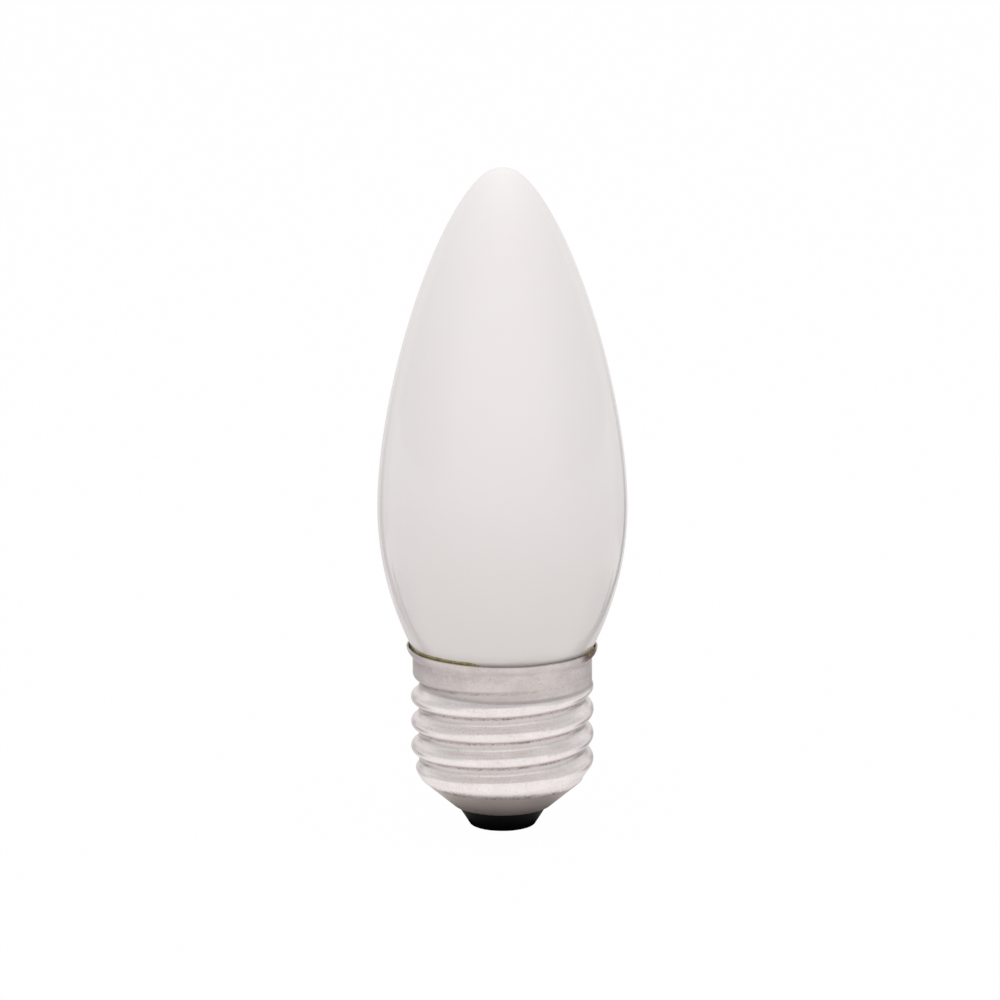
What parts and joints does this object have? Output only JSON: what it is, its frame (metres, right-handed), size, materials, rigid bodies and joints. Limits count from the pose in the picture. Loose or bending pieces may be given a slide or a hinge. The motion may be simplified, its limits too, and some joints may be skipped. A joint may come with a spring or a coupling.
{
  "type": "candle bulb",
  "caption": "Candle-shaped opal lamp bulb with a rolled aluminium screw cap, flared cement-filled lip and black glass base.",
  "frame": {"origin": "lowest point of the lamp, at the middle of the flat on the centre contact's solder", "axes": "+Z along the lamp's axis, from the centre contact towards the tip of the bulb; -Y faces the camera"},
  "size_m": [0.0354, 0.0354, 0.0953],
  "materials": {
    "opal_glass": "glossy opal white, coated inside",
    "cement": "rough baked cement, olive brown",
    "cap_aluminium": "satin, rolled, slightly sooty in the grooves",
    "black_glass": "glossy black",
    "contact_brass": "dull",
    "solder": "dull grey solder",
    "lead_wire": "copper-coated wire"
  },
  "bodies": {
    "root": {"glass_bulb": "opal_glass", "cap_cement": "cement", "screw_shell": "cap_aluminium", "cap_insulator": "black_glass", "centre_contact": "contact_brass", "centre_solder": "solder", "side_weld": "solder", "centre_lead_wire": "lead_wire", "side_lead_wire": "lead_wire"}
  },
  "joints": []
}
